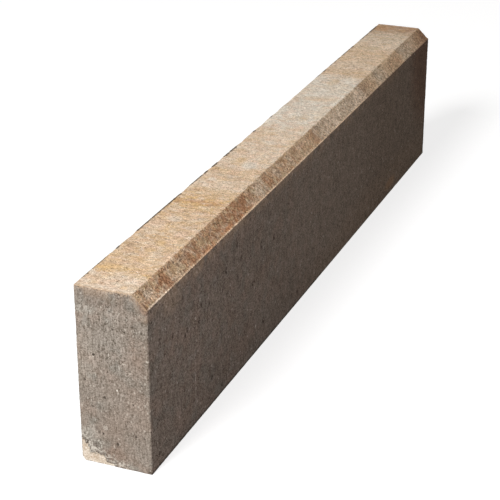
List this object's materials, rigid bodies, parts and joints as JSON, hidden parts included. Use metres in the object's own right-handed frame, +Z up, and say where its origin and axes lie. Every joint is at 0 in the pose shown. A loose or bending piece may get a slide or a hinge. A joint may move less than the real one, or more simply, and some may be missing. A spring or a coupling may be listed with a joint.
{
  "type": "concrete kerb stone",
  "caption": "Straight pressed concrete kerb stone with a chamfered top edge and sandstone-coloured facing, stood on its base.",
  "frame": {"origin": "middle of the base, on the surface that the kerb stands on", "axes": "+X along the kerb, away from the end with the damaged corner; +Y across it, from the chamfered front to the back; +Z up"},
  "size_m": [1, 0.08, 0.2],
  "materials": {
    "core_mix": "pressed grey-brown concrete, dry and matt, with fine vertical drag marks and pores; the top and the chamfer carry a sandstone-coloured facing mix",
    "facing_mix": "fine sandstone-coloured pressed concrete, dry and matt, shaded cream, ochre and pink"
  },
  "bodies": {
    "root": {"kerb_stone": "core_mix"}
  },
  "joints": []
}
